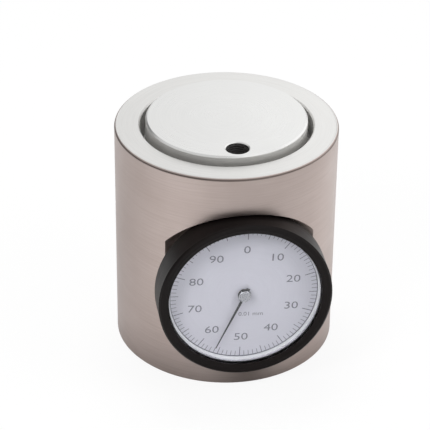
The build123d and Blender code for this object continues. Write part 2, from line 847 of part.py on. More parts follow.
def make_bezel():
    groove_radius = bezel_bore_radius + snap_ring_bite
    edge = bezel_edge
    outline = [
        (bezel_bore_radius, bezel_back),
        (bezel_radius - edge, bezel_back),
        (bezel_radius, bezel_back + edge),
        (bezel_radius, bezel_front - edge),
        (bezel_radius - edge, bezel_front),
        (opening_radius + bezel_lip_slope, bezel_front),
        (opening_radius, crystal_front + bezel_lip_land),
        (opening_radius, crystal_front),
        (bezel_bore_radius, crystal_front),
        (bezel_bore_radius, snap_ring_back + snap_ring_width + bezel_running_clearance),
        (groove_radius, snap_ring_back + snap_ring_width + bezel_running_clearance),
        (groove_radius, snap_ring_back - bezel_running_clearance),
        (bezel_bore_radius, snap_ring_back - bezel_running_clearance),
    ]
    return dial_frame * turned(*outline)


def make_crystal():
    return dial_frame * rod(ring_radius, crystal_back, crystal_front)


def make_dial_spacer():
    return dial_frame * tube(ring_radius, opening_radius - dial_spacer_wall / 2, dial_front, crystal_back)


def make_dial():
    return dial_frame * tube(ring_radius, dial_hole_diameter / 2, dial_back, dial_front)


def make_dial_retainer():
    return dial_frame * tube(ring_radius, ring_radius - retainer_width, retainer_back, dial_back)


def make_snap_ring():
    inner = neck_radius - snap_ring_bite + slide_clearance
    outer = bezel_bore_radius + snap_ring_bite - bezel_running_clearance
    back, front = snap_ring_back, snap_ring_back + snap_ring_width
    half = snap_ring_opening / 2
    opening = block((-half, -outer, back), (half, -inner / 2, front))
    return dial_frame * (tube(outer, inner, back, front) - opening)


nodes = {
    "housing": make_housing(),
    "guide_bush": make_guide_bush(),
    "bush_lock_screw": make_lock_screw(),
    "return_spring": make_return_spring(),
    "key_pin": make_key_pin(),
    "measuring_plate": make_plate(),
    "adjusting_screw": make_adjusting_screw(),
    "plate_clip": make_plate_clip(),
    "gauge_case": make_gauge_case(),
    "case_screws": make_case_screws(),
    "spindle_upper_bush": make_upper_bush(),
    "spindle_lower_bush": make_lower_bush(),
    "rack_spindle": make_spindle(),
    "contact_tip": make_contact_tip(),
    "spindle_guide_pin": make_guide_pin(),
    "spindle_guide_fork": make_guide_fork(),
    "spring_anchor_pin": make_anchor_pin(),
    "draw_spring": make_draw_spring(),
    "movement_rear_plate": make_rear_plate(),
    "movement_front_plate": make_front_plate(),
    "plate_pillars": make_pillars(),
    "plate_screws": make_plate_screws(),
    "rear_pivot_bush": make_rear_pivot_bush(),
    "rack_pinion": make_rack_pinion(),
    "rack_wheel": make_rack_wheel(),
    "centre_pinion": make_centre_pinion(),
    "take_up_arbor": make_take_up_arbor(),
    "take_up_wheel": make_take_up_wheel(),
    "hairspring": make_hairspring(),
    "hairspring_stud": make_hairspring_stud(),
    "pointer": make_pointer(),
    "pointer_hub": make_pointer_hub(),
    "bezel": make_bezel(),
    "bezel_snap_ring": make_snap_ring(),
    "crystal": make_crystal(),
    "dial_spacer": make_dial_spacer(),
    "dial": make_dial(),
    "dial_retainer": make_dial_retainer(),
}

os.makedirs("parts", exist_ok=True)
for name, shape in nodes.items():
    export_step(shape, f"parts/{name}.step")
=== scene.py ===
import bpy
import bmesh
import json
import math
from mathutils import Matrix, Vector


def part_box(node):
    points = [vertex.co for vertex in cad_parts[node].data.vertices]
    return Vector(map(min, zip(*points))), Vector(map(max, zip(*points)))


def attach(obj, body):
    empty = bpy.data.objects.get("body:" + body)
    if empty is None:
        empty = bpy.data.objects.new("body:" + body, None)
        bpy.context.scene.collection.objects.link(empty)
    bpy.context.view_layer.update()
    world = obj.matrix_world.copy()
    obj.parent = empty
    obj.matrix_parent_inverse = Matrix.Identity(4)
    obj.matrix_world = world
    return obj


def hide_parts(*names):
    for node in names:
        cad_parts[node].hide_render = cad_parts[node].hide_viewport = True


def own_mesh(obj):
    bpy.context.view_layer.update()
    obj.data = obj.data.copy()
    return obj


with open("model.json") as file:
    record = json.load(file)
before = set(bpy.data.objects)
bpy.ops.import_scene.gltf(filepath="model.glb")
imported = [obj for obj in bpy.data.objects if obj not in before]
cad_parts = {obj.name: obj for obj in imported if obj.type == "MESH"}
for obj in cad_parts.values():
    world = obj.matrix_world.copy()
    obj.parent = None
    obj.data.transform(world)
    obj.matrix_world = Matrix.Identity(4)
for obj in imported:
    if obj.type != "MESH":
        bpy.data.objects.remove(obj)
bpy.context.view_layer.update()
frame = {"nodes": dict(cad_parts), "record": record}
nodes = frame["nodes"]
joints = {joint["name"]: joint for joint in frame["record"]["behaviour"]["joints"]}
mm = 0.001
print("frame loaded:", len(nodes), "nodes")

# The dial's own axes: x to the right, y up and z towards the person who reads it
dialHeight = joints["bezel_turn"]["pos_m"][2]
dialPlace = Matrix.Translation((0, 0, dialHeight)) @ Matrix.Rotation(math.radians(90), 4, "X")


def halfWidth(node):
    low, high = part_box(node)
    return (high.x - low.x) / 2


def finishedPiece(name, bm, body, material):
    mesh = bpy.data.meshes.new(name)
    bm.to_mesh(mesh)
    bm.free()
    mesh.materials.append(material)
    piece = bpy.data.objects.new(name, mesh)
    bpy.context.scene.collection.objects.link(piece)
    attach(piece, body)
    return piece


# Shader groups that several finishes share


def startGroup(name, inputs, outputs):
    group = bpy.data.node_groups.new(name, "ShaderNodeTree")
    for label, kind, value in inputs:
        socket = group.interface.new_socket(label, in_out="INPUT", socket_type=kind)
        if value is not None:
            socket.default_value = value
    for label, kind in outputs:
        group.interface.new_socket(label, in_out="OUTPUT", socket_type=kind)
    return group, group.nodes.new("NodeGroupInput"), group.nodes.new("NodeGroupOutput")


def addMath(tree, operation, first, second=None):
    node = tree.nodes.new("ShaderNodeMath")
    node.operation = operation
    for socket, value in zip(node.inputs, (first, second)):
        if value is None:
            continue
        if isinstance(value, (int, float)):
            socket.default_value = value
        else:
            tree.links.new(value, socket)
    return node.outputs[0]


def addNoise(tree, vector, scale, detail, roughness):
    noise = tree.nodes.new("ShaderNodeTexNoise")
    noise.inputs["Detail"].default_value = detail
    noise.inputs["Roughness"].default_value = roughness
    tree.links.new(vector, noise.inputs["Vector"])
    if isinstance(scale, (int, float)):
        noise.inputs["Scale"].default_value = scale
    else:
        tree.links.new(scale, noise.inputs["Scale"])
    return noise.outputs["Fac"]


def makeLatheMarks():
    # Fine rings left by turning or grinding about the Z axis of the vector that comes in
    group, source, target = startGroup(
        "latheMarks",
        [
            ("Vector", "NodeSocketVector", None),
            ("Rings", "NodeSocketFloat", 6000.0),
            ("Sweep", "NodeSocketFloat", 1.5),
        ],
        [("Marks", "NodeSocketFloat"), ("Radius", "NodeSocketFloat")],
    )
    split = group.nodes.new("ShaderNodeSeparateXYZ")
    group.links.new(source.outputs["Vector"], split.inputs[0])
    x, y, z = split.outputs
    squared = addMath(group, "ADD", addMath(group, "MULTIPLY", x, x), addMath(group, "MULTIPLY", y, y))
    radius = addMath(group, "SQRT", addMath(group, "MAXIMUM", squared, 1e-10))  # never 0, even on the axis
    combine = group.nodes.new("ShaderNodeCombineXYZ")
    for side, socket in zip((x, y), combine.inputs):
        around = addMath(group, "DIVIDE", side, radius)
        group.links.new(addMath(group, "MULTIPLY", around, source.outputs["Sweep"]), socket)
    along = addMath(group, "MULTIPLY", addMath(group, "ADD", radius, z), source.outputs["Rings"])
    group.links.new(along, combine.inputs[2])
    marks = addNoise(group, combine.outputs[0], 1.0, detail=3.0, roughness=0.6)
    group.links.new(marks, target.inputs["Marks"])
    group.links.new(radius, target.inputs["Radius"])
    return group


def makeHandling():
    # Broad faint smudges from hands and oil
    group, source, target = startGroup(
        "handling",
        [("Vector", "NodeSocketVector", None), ("Size", "NodeSocketFloat", 90.0)],
        [("Smudge", "NodeSocketFloat")],
    )
    smudge = addNoise(
        group, source.outputs["Vector"], source.outputs["Size"], detail=3.0, roughness=0.55
    )
    group.links.new(smudge, target.inputs["Smudge"])
    return group


def makeEdgeBand():
    # 1 at a radius or height, fading to 0 within Width on both sides of it
    group, source, target = startGroup(
        "edgeBand",
        [
            ("Value", "NodeSocketFloat", 0.0),
            ("Centre", "NodeSocketFloat", 0.0),
            ("Width", "NodeSocketFloat", 0.001),
        ],
        [("Band", "NodeSocketFloat")],
    )
    away = addMath(group, "SUBTRACT", source.outputs["Value"], source.outputs["Centre"])
    share = addMath(group, "DIVIDE", addMath(group, "ABSOLUTE", away), source.outputs["Width"])
    band = addMath(group, "SUBTRACT", 1.0, addMath(group, "MINIMUM", share, 1.0))
    group.links.new(band, target.inputs["Band"])
    return group


latheMarks = makeLatheMarks()
handling = makeHandling()
edgeBand = makeEdgeBand()


def useGroup(tree, group, **values):
    node = tree.nodes.new("ShaderNodeGroup")
    node.node_tree = group
    for label, value in values.items():
        if isinstance(value, (int, float)):
            node.inputs[label].default_value = value
        else:
            tree.links.new(value, node.inputs[label])
    return node


def mixColour(tree, share, first, second):
    mix = tree.nodes.new("ShaderNodeMix")
    mix.data_type = "RGBA"
    for socket, value in ((mix.inputs["Factor"], share), (mix.inputs[6], first), (mix.inputs[7], second)):
        if isinstance(value, (int, float)):
            socket.default_value = value
        elif isinstance(value, tuple):
            socket.default_value = (*value, 1.0)
        else:
            tree.links.new(value, socket)
    return mix.outputs[2]


def mapRange(tree, kind, value, limits):
    node = tree.nodes.new("ShaderNodeMapRange")
    node.interpolation_type = kind
    for label, number in zip(("From Min", "From Max", "To Min", "To Max"), limits):
        node.inputs[label].default_value = number
    tree.links.new(value, node.inputs["Value"])
    return node.outputs[0]


def spread(tree, noise, low, high):
    # Stretches a noise texture, most of which lies between 0.3 and 0.7, to low and high
    return mapRange(tree, "LINEAR", noise, (0.3, 0.7, low, high))


def ramp(tree, value, start, end, low, high):
    # Smooth change from low to high between two values
    return mapRange(tree, "SMOOTHSTEP", value, (start, end, low, high))


def blankMaterial(name):
    material = bpy.data.materials.new(name)
    material.use_nodes = True
    tree = material.node_tree
    return material, tree, tree.nodes["Principled BSDF"]


def objectPlace(tree, onDial):
    # Coordinates with Z along the axis that the piece was turned about
    place = tree.nodes.new("ShaderNodeTexCoord").outputs["Object"]
    if not onDial:
        return place
    turn = tree.nodes.new("ShaderNodeMapping")
    turn.inputs["Rotation"].default_value = (math.radians(90), 0, 0)
    turn.inputs["Location"].default_value = (0, dialHeight, 0)
    tree.links.new(place, turn.inputs["Vector"])
    return turn.outputs[0]


def addBump(tree, shader, height, strength, distance):
    bump = tree.nodes.new("ShaderNodeBump")
    bump.inputs["Strength"].default_value = strength
    bump.inputs["Distance"].default_value = distance
    tree.links.new(height, bump.inputs["Height"])
    tree.links.new(bump.outputs[0], shader.inputs["Normal"])


def feeding(shader, label):
    # What a socket of the shader is linked to so far
    return shader.inputs[label].links[0].from_socket


# What a turned finish has unless its own values say otherwise
turnedLook = {
    "onDial": False,  # turned about the dial's axis and not the drum's
    "sweep": 1.5,
    "smudgeSize": 90.0,
    "stain": 0.35,
    "smudgeRough": 0.05,
    "metallic": 1.0,
    "specular": 0.5,
    "depth": 0.02 * mm,
}


def turnedFinish(name, look):
    # A turned or ground surface: colour and gloss change with the rings and with handling
    look = {**turnedLook, "stainColour": look["dark"], **look}
    material, tree, shader = blankMaterial(name)
    place = objectPlace(tree, look["onDial"])
    lathe = useGroup(tree, latheMarks, Vector=place, Rings=look["rings"], Sweep=look["sweep"])
    hands = useGroup(tree, handling, Vector=place, Size=look["smudgeSize"])
    marks = lathe.outputs["Marks"]
    smudge = hands.outputs["Smudge"]
    ringColour = mixColour(tree, spread(tree, marks, 0.0, 1.0), look["dark"], look["light"])
    stained = spread(tree, smudge, 0.0, look["stain"])
    colour = mixColour(tree, stained, ringColour, look["stainColour"])
    dull = spread(tree, smudge, 0.0, look["smudgeRough"])
    rough = addMath(tree, "ADD", spread(tree, marks, *look["rough"]), dull)
    tree.links.new(colour, shader.inputs["Base Color"])
    tree.links.new(rough, shader.inputs["Roughness"])
    shader.inputs["Metallic"].default_value = look["metallic"]
    shader.inputs["Specular IOR Level"].default_value = look["specular"]
    addBump(tree, shader, marks, look["bump"], look["depth"])
    return material, tree, shader, place, lathe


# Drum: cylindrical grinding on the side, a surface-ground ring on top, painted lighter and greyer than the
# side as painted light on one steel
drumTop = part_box("housing")[1].z
drumLook = {
    "rings": 9000.0,
    "sweep": 2.0,
    "dark": (0.49, 0.405, 0.375),
    "light": (0.59, 0.505, 0.475),
    "stain": 0.3,
    "stainColour": (0.45, 0.365, 0.33),
    "rough": (0.27, 0.36),
    "bump": 0.10,
    # the top ring's colours, painted lighter and greyer than the side's: painted light
    "ringDark": (0.76, 0.755, 0.74),
    "ringLight": (0.85, 0.845, 0.83),
    "topFrom": drumTop - 0.04 * mm,
    # painted reflection: the next colour is a dark band below the rim, for the dark room in front that the
    # rounded rim mirrors
    "rimPaintedReflection": (0.19, 0.15, 0.135),  # a dark line round the drum, below its rounded rim
    "rimHeight": drumTop - 0.32 * mm,
    "rimWidth": 0.3 * mm,
    "pocketRadius": 18.2 * mm,
    "pocketFrom": drumTop - 9 * mm,
    "pocketRough": 0.5,
}


def makeDrumSteel():
    look = drumLook
    material, tree, shader, place, lathe = turnedFinish("drumSteel", look)
    split = tree.nodes.new("ShaderNodeSeparateXYZ")
    tree.links.new(place, split.inputs[0])
    height = split.outputs[2]
    # Painted light: the top ring and the pocket below it take a lighter, greyer colour than the side
    nearAxis = addMath(tree, "LESS_THAN", lathe.outputs["Radius"], look["pocketRadius"])
    highUp = addMath(tree, "GREATER_THAN", height, look["pocketFrom"])
    inPocket = addMath(tree, "MULTIPLY", nearAxis, highUp)
    paintedLighterTopAndPocket = addMath(tree, "MAXIMUM", addMath(tree, "GREATER_THAN", height, look["topFrom"]), inPocket)
    marks = spread(tree, lathe.outputs["Marks"], 0.0, 1.0)
    paintedLightTopColour = mixColour(tree, marks, look["ringDark"], look["ringLight"])
    # Painted reflection: a dark band just below the rim, for the dark room that the rounded rim mirrors
    band = useGroup(tree, edgeBand, Value=height, Centre=look["rimHeight"], Width=look["rimWidth"])
    sideColour = mixColour(tree, band.outputs["Band"], feeding(shader, "Base Color"), look["rimPaintedReflection"])
    tree.links.new(mixColour(tree, paintedLighterTopAndPocket, sideColour, paintedLightTopColour), shader.inputs["Base Color"])
    pocketRough = addMath(tree, "MULTIPLY", inPocket, look["pocketRough"])
    rough = addMath(tree, "MAXIMUM", feeding(shader, "Roughness"), pocketRough)
    tree.links.new(rough, shader.inputs["Roughness"])
    return material


# Past an edge, a radius just inside the piece's own, a finish changes tone: the hub's side is dark, and the
# plate's side is painted lighter than its top, as painted light against the shade of the deep gap round it
finishes = {
    "plateSteel": {
        "rings": 8000.0, "sweep": 1.2, "dark": (0.80, 0.80, 0.79), "light": (0.86, 0.86, 0.85),
        "stain": 0.2, "rough": (0.24, 0.32), "bump": 0.08,
        # the side colours are painted light, lighter than the top, against the shade of the deep gap round
        # the plate
        "edge": halfWidth("measuring_plate") - 0.03 * mm, "sideDark": (0.84, 0.83, 0.81),
        "sideLight": (0.92, 0.91, 0.89), "sideRough": 0.66,
    },
    "hardenedSteel": {
        "rings": 5000.0, "dark": (0.42, 0.42, 0.43), "light": (0.62, 0.62, 0.63), "rough": (0.18, 0.3),
        "bump": 0.15,
    },
    "darkSteel": {
        "rings": 6000.0, "dark": (0.03, 0.028, 0.028), "light": (0.07, 0.067, 0.067),
        "rough": (0.3, 0.45), "bump": 0.2,
    },
    "springSteel": {
        "rings": 3000.0, "dark": (0.40, 0.40, 0.42), "light": (0.58, 0.58, 0.60), "rough": (0.2, 0.32),
        "bump": 0.1,
    },
    "bluedSteel": {
        "rings": 4000.0, "dark": (0.06, 0.08, 0.16), "light": (0.12, 0.17, 0.32), "rough": (0.2, 0.3),
        "bump": 0.1,
    },
    "bronze": {
        "rings": 6000.0, "dark": (0.46, 0.30, 0.17), "light": (0.66, 0.47, 0.28), "rough": (0.25, 0.4),
        "bump": 0.2,
    },
    "brass": {
        "rings": 4000.0, "dark": (0.66, 0.48, 0.20), "light": (0.85, 0.66, 0.34), "rough": (0.22, 0.36),
        "bump": 0.2, "onDial": True,
    },
    "caseSteel": {
        "rings": 5000.0, "dark": (0.45, 0.42, 0.39), "light": (0.62, 0.59, 0.56), "rough": (0.3, 0.42),
        "bump": 0.2, "onDial": True,
    },
    "ringBright": {
        "rings": 7000.0, "dark": (0.80, 0.80, 0.82), "light": (0.90, 0.90, 0.91), "rough": (0.2, 0.3),
        "bump": 0.1, "onDial": True,
    },
    "hubGrey": {
        "rings": 9000.0, "dark": (0.44, 0.44, 0.46), "light": (0.52, 0.52, 0.54), "rough": (0.2, 0.3),
        "bump": 0.1, "onDial": True, "edge": halfWidth("pointer_hub") - 0.02 * mm,
        "sideDark": (0.02, 0.02, 0.022), "sideLight": (0.04, 0.04, 0.043), "sideRough": 0.4,
    },
    "pointerDark": {
        "rings": 5000.0, "dark": (0.018, 0.018, 0.02), "light": (0.03, 0.03, 0.033),
        "rough": (0.4, 0.5), "bump": 0.1, "metallic": 0.0, "onDial": True,
    },
    "bezelBlack": {
        "rings": 7000.0, "sweep": 2.5, "dark": (0.004, 0.003, 0.003), "light": (0.008, 0.006, 0.006),
        "stain": 0.5, "stainColour": (0.012, 0.008, 0.007), "rough": (0.3, 0.42), "bump": 0.15,
        "metallic": 0.0, "specular": 0.15, "onDial": True,
    },
    "dialEnamel": {
        "rings": 3000.0, "dark": (0.62, 0.61, 0.665), "light": (0.65, 0.64, 0.695), "stain": 0.3,
        "stainColour": (0.60, 0.59, 0.645), "rough": (0.5, 0.6), "bump": 0.05, "metallic": 0.0,
        "onDial": True,
    },
    "ringWhite": {
        "rings": 5000.0, "dark": (0.64, 0.64, 0.66), "light": (0.70, 0.70, 0.71), "rough": (0.35, 0.45),
        "bump": 0.05, "metallic": 0.0, "onDial": True,
    },
    "printInk": {
        "rings": 3000.0, "dark": (0.17, 0.17, 0.20), "light": (0.23, 0.23, 0.26), "rough": (0.6, 0.7),
        "bump": 0.05, "metallic": 0.0, "onDial": True,
    },
}


def makeOuterTone(name, look):
    # A finish that changes colour and gloss outside a radius
    material, tree, shader, place, lathe = turnedFinish(name, look)
    outside = addMath(tree, "GREATER_THAN", lathe.outputs["Radius"], look["edge"])
    marks = spread(tree, lathe.outputs["Marks"], 0.0, 1.0)
    side = mixColour(tree, marks, look["sideDark"], look["sideLight"])
    colour = mixColour(tree, outside, feeding(shader, "Base Color"), side)
    sideRough = addMath(tree, "MULTIPLY", outside, look["sideRough"])
    rough = addMath(tree, "MAXIMUM", feeding(shader, "Roughness"), sideRough)
    tree.links.new(colour, shader.inputs["Base Color"])
    tree.links.new(rough, shader.inputs["Roughness"])
    return material


crystalLook = {"colour": (0.97, 0.98, 1.0, 1.0), "ior": 1.45, "smudgeSize": 160.0, "rough": (0.0, 0.04)}


def makeCrystal():
    # Clear acrylic that lets the lamps through to the dial
    look = crystalLook
    material, tree, shader = blankMaterial("clearCrystal")
    shader.inputs["Base Color"].default_value = look["colour"]
    shader.inputs["Transmission Weight"].default_value = 1.0
    shader.inputs["IOR"].default_value = look["ior"]
    hands = useGroup(tree, handling, Vector=objectPlace(tree, True), Size=look["smudgeSize"])
    tree.links.new(spread(tree, hands.outputs["Smudge"], *look["rough"]), shader.inputs["Roughness"])
    through = tree.nodes.new("ShaderNodeBsdfTransparent")
    paths = tree.nodes.new("ShaderNodeLightPath")
    mix = tree.nodes.new("ShaderNodeMixShader")
    tree.links.new(paths.outputs["Is Shadow Ray"], mix.inputs[0])
    tree.links.new(shader.outputs[0], mix.inputs[1])
    tree.links.new(through.outputs[0], mix.inputs[2])
    tree.links.new(mix.outputs[0], tree.nodes["Material Output"].inputs["Surface"])
    return material


materials = {"drumSteel": makeDrumSteel(), "clearCrystal": makeCrystal()}
for name, look in finishes.items():
    materials[name] = makeOuterTone(name, look) if "edge" in look else turnedFinish(name, look)[0]

# Which finish each material slot of the record gets
slotFinish = {
    "drum_steel": "drumSteel",
    "plate_steel": "plateSteel",
    "hardened_steel": "hardenedSteel",
    "dark_steel": "darkSteel",
    "spring_steel": "springSteel",
    "blued_steel": "bluedSteel",
    "bronze": "bronze",
    "brass": "brass",
    "case_steel": "caseSteel",
    "bezel_black": "bezelBlack",
    "crystal": "clearCrystal",
    "dial_white": "dialEnamel",
    "pointer_dark": "pointerDark",
    "hub_grey": "hubGrey",
    "ring_bright": "ringBright",
}
for part in frame["record"]["subparts"]:
    nodes[part["node"]].material_slots[0].material = materials[slotFinish[part["material_slot"]]]
print("finishes:", len(materials))


def spinOutline(bm, profile, steps):
    # Turns a closed outline of (radius, height) points about the Z axis
    verts = [bm.verts.new((radius, 0, height)) for radius, height in profile]
    edges = [bm.edges.new(pair) for pair in zip(verts, verts[1:] + verts[:1])]
    bmesh.ops.spin(
        bm, geom=verts + edges, cent=(0, 0, 0), axis=(0, 0, 1), angle=math.tau, steps=steps, use_merge=True
    )


# Print on the dial: graduations, plain numbers and the value of one graduation
printLook = {
    "turn": -2.8,  # degrees that the dial is turned clockwise
    "thickness": 0.012 * mm,
    "lines": 100,
    "numbers": 10,
    "outer": 15.1 * mm,
    "inner": {1: 13.9 * mm, 5: 13.4 * mm, 10: 12.9 * mm},
    "width": {1: 0.12 * mm, 5: 0.14 * mm, 10: 0.18 * mm},
    "numberRing": 10.42 * mm,
    "numberSize": 2.4 * mm,
    "numberStretch": 1.28,
    # a printed circle at the graduations' outer ends, made wide and dark so that it is also painted shadow
    # for the gap between the dial and its ring
    "circle": (15.0 * mm, 15.3 * mm),
    "circleSteps": 160,
    "unitPlace": (1.7 * mm, -4.85 * mm, 0),
    "unitSize": 1.3 * mm,
    "unitStretch": 1.12,
    "curveSteps": 3,
    "merge": 0.0002 * mm,
}


def dialPoint(clock, radius):
    angle = math.radians(90 - clock)
    return Vector((radius * math.cos(angle), radius * math.sin(angle), 0))


def textMesh(words, size, stretch):
    curve = bpy.data.curves.new("words", "FONT")
    curve.body = words
    curve.size = size
    curve.align_x = "CENTER"
    curve.align_y = "CENTER"
    curve.extrude = printLook["thickness"] / 2
    curve.resolution_u = printLook["curveSteps"]
    carrier = bpy.data.objects.new("words", curve)
    bpy.context.scene.collection.objects.link(carrier)
    bpy.context.view_layer.update()
    mesh = bpy.data.meshes.new_from_object(carrier.evaluated_get(bpy.context.evaluated_depsgraph_get()))
    bpy.data.objects.remove(carrier)
    mesh.transform(Matrix.Diagonal((stretch, 1, 1, 1)))
    return mesh


def addGraduations(bm, turn):
    look = printLook
    for line in range(look["lines"]):
        kind = next(every for every in (10, 5, 1) if line % every == 0)
        clock = line * 360 / look["lines"]
        length = look["outer"] - look["inner"][kind]
        centre = dialPoint(clock, look["inner"][kind] + length / 2)
        place = turn @ Matrix.Translation(centre) @ Matrix.Rotation(math.radians(-clock), 4, "Z")
        size = Matrix.Diagonal((look["width"][kind], length, look["thickness"], 1))
        bmesh.ops.create_cube(bm, size=1.0, matrix=place @ size)


def addWords(bm, turn):
    look = printLook
    for number in range(look["numbers"]):
        place = dialPoint(number * 360 / look["numbers"], look["numberRing"])
        mesh = textMesh(str(number * 10), look["numberSize"], look["numberStretch"])
        mesh.transform(turn @ Matrix.Translation(place))
        bm.from_mesh(mesh)
    mesh = textMesh("0.01 mm", look["unitSize"], look["unitStretch"])
    mesh.transform(turn @ Matrix.Translation(look["unitPlace"]))
    bm.from_mesh(mesh)


def makeDialPrint():
    look = printLook
    turn = Matrix.Rotation(math.radians(look["turn"]), 4, "Z")
    bm = bmesh.new()
    addGraduations(bm, turn)
    addWords(bm, turn)
    half = look["thickness"] / 2
    # Circle at the dial's rim: partly print, partly painted shadow of the gap at the dial ring
    inner, outer = look["circle"]
    spinOutline(bm, [(inner, -half), (outer, -half), (outer, half), (inner, half)], look["circleSteps"])
    front = -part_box("dial")[0].y + look["thickness"]
    bmesh.ops.transform(bm, matrix=dialPlace @ Matrix.Translation((0, 0, front)), verts=bm.verts)
    bmesh.ops.remove_doubles(bm, verts=bm.verts, dist=look["merge"])
    bmesh.ops.recalc_face_normals(bm, faces=bm.faces)
    finishedPiece("dialPrint", bm, "bezel_unit", materials["printInk"])


makeDialPrint()
print("dial print made")


def spunRing(name, profile, place, steps, body, material):
    # Solid ring from a closed outline of (radius, height) points
    bm = bmesh.new()
    spinOutline(bm, profile, steps)
    bmesh.ops.transform(bm, matrix=place, verts=bm.verts)
    bmesh.ops.recalc_face_normals(bm, faces=bm.faces)
    for face in bm.faces:
        face.smooth = True
    finishedPiece(name, bm, body, material)


# Pale sloping ring round the dial, in front of the spacer
dialRingLook = {
    "wall": 0.35 * mm,  # of the spacer, which it stands inside
    "gap": 0.02 * mm,
    "step": 0.5 * mm,
    "lift": 0.12 * mm,
    "lip": 0.06 * mm,
    "steps": 160,
}


def makeDialRing():
    look = dialRingLook
    low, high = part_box("dial_spacer")
    outer = halfWidth("dial_spacer") - look["wall"] - look["gap"]
    inner = outer - look["step"]
    back = -high.y + look["lift"]
    front = -low.y - look["gap"]
    profile = [(outer, back), (inner, back), (inner, back + look["lip"]), (outer, front)]
    spunRing(
        "dialRing", profile, dialPlace, look["steps"], "bezel_unit", materials["ringWhite"]
    )


makeDialRing()

# Rounded rim of the drum, over the flat that the solid has there
rimLook = {"radius": 0.5 * mm, "points": 8, "steps": 256}


def makeRim():
    look = rimLook
    radius = look["radius"]
    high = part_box("housing")[1]
    centreX, centreZ = high.x - radius, high.z - radius
    profile = []
    for point in range(look["points"] + 1):
        angle = math.radians(90 * point / look["points"])
        profile.append((centreX + radius * math.cos(angle), centreZ + radius * math.sin(angle)))
    spunRing("drumRim", profile, Matrix(), look["steps"], "drum", materials["drumSteel"])


makeRim()
print("rings made")

# Thread inside the plate's hole, above the adjusting screw
threadLook = {
    "pitch": 0.5 * mm,
    "depth": 0.2 * mm,
    "flank": 0.45,  # of the pitch
    "shorter": 0.5,  # turns, to stay clear of the screw and of the hole's edge
    "sink": 0.02 * mm,  # into the hole's wall
    "topGap": 0.35 * mm,
    "steps": 36,
}


def makeHoleThread():
    look = threadLook
    low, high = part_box("adjusting_screw")
    centre = (low + high) / 2
    radius = halfWidth("adjusting_screw") + look["sink"]
    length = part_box("measuring_plate")[1].z - look["topGap"] - high.z
    turns = int(length / look["pitch"]) - look["shorter"]
    half = look["pitch"] * look["flank"]
    profile = [(radius, -half), (radius - look["depth"], 0), (radius, half)]
    bm = bmesh.new()
    verts = [bm.verts.new((centre.x + r, centre.y, high.z + half + z)) for r, z in profile]
    edges = [bm.edges.new(pair) for pair in zip(verts, verts[1:] + verts[:1])]
    bmesh.ops.spin(
        bm, geom=verts + edges, cent=(centre.x, centre.y, 0), axis=(0, 0, 1),
        dvec=(0, 0, look["pitch"] / look["steps"]), angle=math.tau * turns, steps=int(turns * look["steps"]),
    )
    bmesh.ops.holes_fill(bm, edges=[edge for edge in bm.edges if edge.is_boundary], sides=len(profile))
    bmesh.ops.recalc_face_normals(bm, faces=bm.faces)
    finishedPiece("holeThread", bm, "measuring_plate_unit", materials["darkSteel"])


makeHoleThread()
print("thread made")

# Copy of the return spring, of square wire; the real spring shortens as the plate goes down, while this copy
# keeps one length
returnSpringLook = {"wire": 0.9 * mm, "turns": 5, "steps": 32}


def makeReturnSpring():
    look = returnSpringLook
    low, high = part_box("return_spring")
    height = high.z - low.z
    half = look["wire"] / 2
    radius = halfWidth("return_spring") - half
    steps = look["turns"] * look["steps"]
    rise = (height - look["wire"]) / steps
    bm = bmesh.new()
    start = Matrix.Translation((radius, 0, low.z + half)) @ Matrix.Rotation(math.radians(90), 4, "X")
    square = start @ Matrix.Rotation(math.radians(45), 4, "Z")
    bmesh.ops.create_circle(bm, segments=4, radius=half * math.sqrt(2), matrix=square)
    bmesh.ops.spin(
        bm, geom=bm.verts[:] + bm.edges[:], cent=(0, 0, 0), axis=(0, 0, 1), dvec=(0, 0, rise),
        angle=math.tau * look["turns"], steps=steps,
    )
    bmesh.ops.holes_fill(bm, edges=[edge for edge in bm.edges if edge.is_boundary], sides=4)
    bmesh.ops.recalc_face_normals(bm, faces=bm.faces)
    piece = finishedPiece("returnSpring", bm, "drum", materials["springSteel"])
    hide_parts("return_spring")
    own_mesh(piece)


makeReturnSpring()
print("return spring made")

# Floor, world and lamps
studio = {
    "floorSize": 3.0,
    "floorColour": (0.9, 0.9, 0.9),
    "floorRough": 0.9,
    "floorSpecular": 0.1,
    "cameraWhite": 0.9,
    # painted light and shade: for mirror rays the floor is painted dim, except at painted pools of light
    "floorDim": (0.68, 0.68, 0.68),  # what the drum mirrors of the floor, away from the lit places
    "paintedLightPools": (
        ((-70 * mm, -60 * mm, 0), 95 * mm),
        ((66 * mm, 30 * mm, 0), 92 * mm),
        ((26 * mm, -18 * mm, 0), 32 * mm),
    ),
    # painted shadow: the floor that the drum mirrors under the bezel is painted dark, for the bezel's shadow
    "bezelShadowPlace": ((3 * mm, -27 * mm, 0), 15 * mm),  # the dark floor that it mirrors under the bezel
    "bezelShadowColour": (0.2, 0.2, 0.2),
    "skyLight": 0.5,
    "front": (-0.4, -0.05),  # the room behind the camera is dark up to the soft light overhead
    "frontTop": (0.6, 0.78),
    "frontWhite": 0.5,
    "left": (-0.5, -0.25),  # darker still low on the left
    "leftTop": (0.3, 0.5),
    "leftWhite": 0.25,
    "side": (0.0, 0.26),  # and brighter towards the right
    "sideWhite": (0.74, 1.15),
    "lampsAim": (0, 0, 25 * mm),
    "keyPower": 1.2,
    "keyPlace": (-0.38, -0.34, 0.50),
    "keySize": 0.2,
    "topPower": 1.6,
    "topPlace": (0.0, 0.16, 0.6),
    "topSize": 0.25,
    "fillPower": 1.0,
    "fillPlace": (0.45, -0.25, 0.35),
    "fillSize": 0.4,
}


def roundPlace(tree, place, centre, radius):
    # 1 at a point of the floor, fading to 0 at the radius
    away = tree.nodes.new("ShaderNodeVectorMath")
    away.operation = "DISTANCE"
    away.inputs[1].default_value = centre
    tree.links.new(place, away.inputs[0])
    return ramp(tree, away.outputs["Value"], 0.0, radius, 1.0, 0.0)


